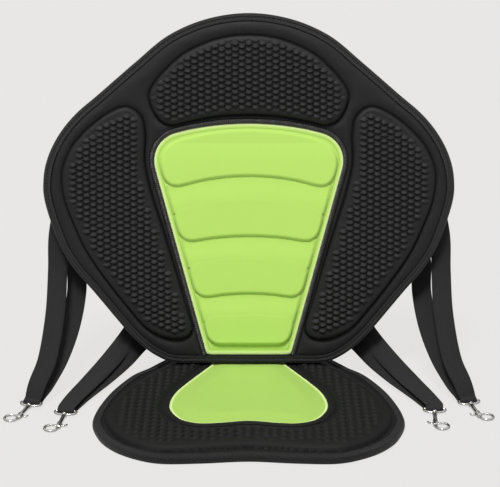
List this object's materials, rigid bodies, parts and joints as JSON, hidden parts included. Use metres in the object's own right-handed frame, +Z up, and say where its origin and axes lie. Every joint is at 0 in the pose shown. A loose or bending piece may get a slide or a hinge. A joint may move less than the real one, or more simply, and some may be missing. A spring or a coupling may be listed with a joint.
{
  "type": "kayak seat",
  "caption": "Padded kayak seat with a reclined shield-shaped backrest, lime centre inserts, webbing straps and swivel snap hooks.",
  "frame": {"origin": "on the floor, at the seat pad's flat underside, on the centre line under the backrest's lower front edge", "axes": "+X to the right as seen from the front, across the widest extent; the seat faces -Y; +Z up"},
  "size_m": [0.5978, 0.3819, 0.4551],
  "materials": {
    "black_fabric": "matte embossed cloth over foam",
    "lime_fabric": "matte smooth cloth over foam",
    "black_trim": "woven binding tape and braided piping",
    "black_webbing": "woven webbing",
    "grey_foam": "closed-cell foam",
    "stiffener_sheet": "plain sheet",
    "nickel_plate": "bright nickel plate",
    "spring_steel": "plain wire"
  },
  "bodies": {
    "seat_and_straps": {"back_front_panel": "black_fabric", "back_center_insert": "lime_fabric", "back_insert_piping": "black_trim", "back_foam_core": "grey_foam", "back_stiffener": "stiffener_sheet", "back_rear_cover": "black_fabric", "back_edge_binding": "black_trim", "seat_top_panel": "black_fabric", "seat_center_insert": "lime_fabric", "seat_insert_piping": "black_trim", "seat_foam_core": "grey_foam", "seat_base_cover": "black_fabric", "seat_edge_binding": "black_trim", "hinge_strip": "black_trim", "upper_left_webbing": "black_webbing", "upper_left_anchor_patch": "black_webbing", "upper_left_slider_tab": "black_webbing", "upper_left_slider": "nickel_plate", "upper_left_swivel_eye": "nickel_plate", "upper_right_webbing": "black_webbing", "upper_right_anchor_patch": "black_webbing", "upper_right_slider_tab": "black_webbing", "upper_right_slider": "nickel_plate", "upper_right_swivel_eye": "nickel_plate", "lower_left_webbing": "black_webbing", "lower_left_anchor_patch": "black_webbing", "lower_left_slider_tab": "black_webbing", "lower_left_slider": "nickel_plate", "lower_left_swivel_eye": "nickel_plate", "lower_right_webbing": "black_webbing", "lower_right_anchor_patch": "black_webbing", "lower_right_slider_tab": "black_webbing", "lower_right_slider": "nickel_plate", "lower_right_swivel_eye": "nickel_plate"},
    "upper_left_hook": {"upper_left_snap_hook": "nickel_plate", "upper_left_gate_pin": "spring_steel", "upper_left_gate_spring": "spring_steel"},
    "upper_left_gate_lever": {"upper_left_gate": "nickel_plate"},
    "upper_right_hook": {"upper_right_snap_hook": "nickel_plate", "upper_right_gate_pin": "spring_steel", "upper_right_gate_spring": "spring_steel"},
    "upper_right_gate_lever": {"upper_right_gate": "nickel_plate"},
    "lower_left_hook": {"lower_left_snap_hook": "nickel_plate", "lower_left_gate_pin": "spring_steel", "lower_left_gate_spring": "spring_steel"},
    "lower_left_gate_lever": {"lower_left_gate": "nickel_plate"},
    "lower_right_hook": {"lower_right_snap_hook": "nickel_plate", "lower_right_gate_pin": "spring_steel", "lower_right_gate_spring": "spring_steel"},
    "lower_right_gate_lever": {"lower_right_gate": "nickel_plate"}
  },
  "joints": [
    {"name": "upper_left_swivel", "type": "hinge", "parent": "seat_and_straps", "child": "upper_left_hook", "pos_m": [-0.27103, -0.09883, 0.00435], "axis": [-0.2753, -0.9601, -0.0489], "continuous": true},
    {"name": "upper_left_gate_pivot", "type": "hinge", "parent": "upper_left_hook", "child": "upper_left_gate_lever", "pos_m": [-0.27899, -0.12658, 0.00294], "axis": [-0.0135, -0.047, 0.9988], "range_deg": [0, 38], "stiffness_Nm_per_rad": 0.02, "springref_deg": -20.05},
    {"name": "upper_right_swivel", "type": "hinge", "parent": "seat_and_straps", "child": "upper_right_hook", "pos_m": [0.27441, -0.09399, 0.00435], "axis": [0.2077, -0.977, -0.0488], "continuous": true},
    {"name": "upper_right_gate_pivot", "type": "hinge", "parent": "upper_right_hook", "child": "upper_right_gate_lever", "pos_m": [0.28041, -0.12222, 0.00294], "axis": [-0.0102, 0.0478, -0.9988], "range_deg": [0, 38], "stiffness_Nm_per_rad": 0.02, "springref_deg": -20.05},
    {"name": "lower_left_swivel", "type": "hinge", "parent": "seat_and_straps", "child": "lower_left_hook", "pos_m": [-0.22462, -0.12612, 0.00435], "axis": [-0.1217, -0.9914, -0.0489], "continuous": true},
    {"name": "lower_left_gate_pivot", "type": "hinge", "parent": "lower_left_hook", "child": "lower_left_gate_lever", "pos_m": [-0.22814, -0.15477, 0.00294], "axis": [-0.006, -0.0485, 0.9988], "range_deg": [0, 38], "stiffness_Nm_per_rad": 0.02, "springref_deg": -20.05},
    {"name": "lower_right_swivel", "type": "hinge", "parent": "seat_and_straps", "child": "lower_right_hook", "pos_m": [0.22736, -0.11917, 0.00435], "axis": [-0.0697, -0.9964, -0.0489], "continuous": true},
    {"name": "lower_right_gate_pivot", "type": "hinge", "parent": "lower_right_hook", "child": "lower_right_gate_lever", "pos_m": [0.22534, -0.14796, 0.00294], "axis": [0.0034, 0.0487, -0.9988], "range_deg": [0, 38], "stiffness_Nm_per_rad": 0.02, "springref_deg": -20.05}
  ]
}
